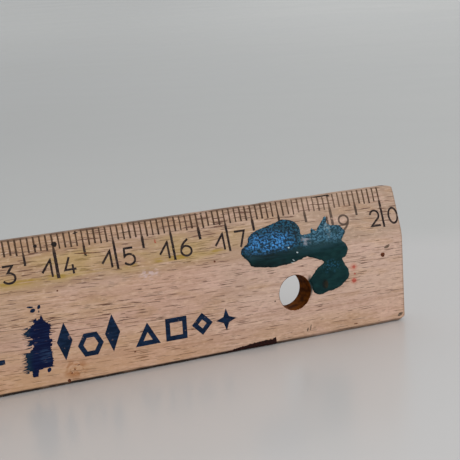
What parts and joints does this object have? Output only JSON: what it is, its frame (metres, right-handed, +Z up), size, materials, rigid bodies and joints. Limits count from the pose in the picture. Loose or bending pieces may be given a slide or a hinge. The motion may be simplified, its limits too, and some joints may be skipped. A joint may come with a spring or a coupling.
{
  "type": "wooden ruler",
  "caption": "Flat wooden ruler with a bevelled upper edge that carries a black millimetre scale, and a round hanging hole near one end.",
  "frame": {"origin": "centre of the wood's lower edge, on the surface that the ruler stands on", "axes": "+X along the scale from its zero towards its high end, +Y from the graduated front to the plain back, +Z up"},
  "size_m": [0.2066, 0.0043, 0.024],
  "materials": {
    "beech": "planed beech, worn and lightly varnished",
    "black_ink": "stamped black ink, worn",
    "navy_ink": "printed navy ink",
    "teal_paint": "dried glossy teal paint",
    "brown_stain": "dark brown stain"
  },
  "bodies": {
    "root": {"beech_blank": "beech", "edge_stain": "brown_stain", "ink_smear": "navy_ink", "ink_splash": "navy_ink", "numeral_01_units": "black_ink", "numeral_02_units": "black_ink", "numeral_03_units": "black_ink", "numeral_04_units": "black_ink", "numeral_05_units": "black_ink", "numeral_06_units": "black_ink", "numeral_07_units": "black_ink", "numeral_08_units": "black_ink", "numeral_09_units": "black_ink", "numeral_10_tens": "black_ink", "numeral_10_units": "black_ink", "numeral_11_tens": "black_ink", "numeral_11_units": "black_ink", "numeral_12_tens": "black_ink", "numeral_12_units": "black_ink", "numeral_13_tens": "black_ink", "numeral_13_units": "black_ink", "numeral_14_tens": "black_ink", "numeral_14_units": "black_ink", "numeral_15_tens": "black_ink", "numeral_15_units": "black_ink", "numeral_16_tens": "black_ink", "numeral_16_units": "black_ink", "numeral_17_tens": "black_ink", "numeral_17_units": "black_ink", "numeral_18_tens": "black_ink", "numeral_18_units": "black_ink", "numeral_19_tens": "black_ink", "numeral_19_units": "black_ink", "numeral_20_tens": "black_ink", "numeral_20_units": "black_ink", "ornament_01_star": "navy_ink", "ornament_02_diamond": "navy_ink", "ornament_03_square": "navy_ink", "ornament_04_triangle": "navy_ink", "ornament_05_lozenge": "navy_ink", "ornament_06_hexagon": "navy_ink", "ornament_07_lozenge": "navy_ink", "ornament_08_lozenge": "navy_ink", "ornament_09_hexagon": "navy_ink", "ornament_10_lozenge": "navy_ink", "ornament_11_triangle": "navy_ink", "ornament_12_square": "navy_ink", "ornament_13_diamond": "navy_ink", "ornament_14_star": "navy_ink", "ornament_dash": "navy_ink", "paint_spill": "teal_paint", "scale_graduations": "black_ink"}
  },
  "joints": []
}
